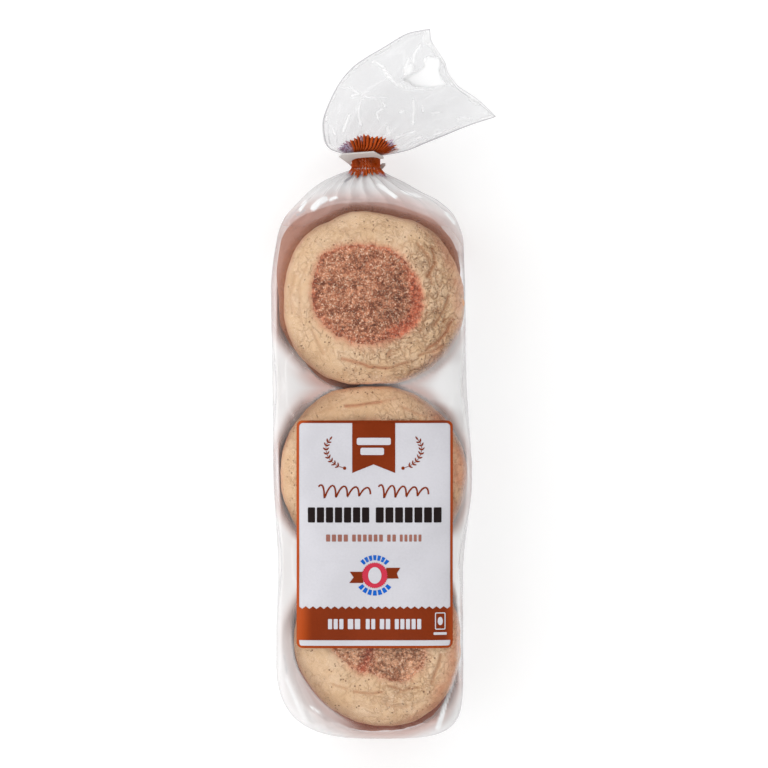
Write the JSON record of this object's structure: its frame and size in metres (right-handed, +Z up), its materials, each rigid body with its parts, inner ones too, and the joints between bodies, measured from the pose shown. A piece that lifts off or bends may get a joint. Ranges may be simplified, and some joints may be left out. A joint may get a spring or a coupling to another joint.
{
  "type": "sealed pack of english muffins",
  "caption": "Long clear film bag of round english muffins on a paperboard tray, with a printed front label, a gathered neck in a bread clip and an open flared tail.",
  "frame": {"origin": "middle of the flat underside, below the second muffin of the row", "axes": "+Z up through the printed front, +Y from the folded bottom end towards the gathered neck and tail, +X to the right of the print"},
  "size_m": [0.1141, 0.3593, 0.0563],
  "materials": {
    "clear_film": "gloss",
    "label_print": "satin",
    "clip_plastic": "satin",
    "muffin_crust": "matte",
    "tray_board": "matte"
  },
  "bodies": {
    "root": {"clear_bag": "clear_film", "front_label": "label_print", "closure_clip": "clip_plastic"}
  },
  "joints": []
}
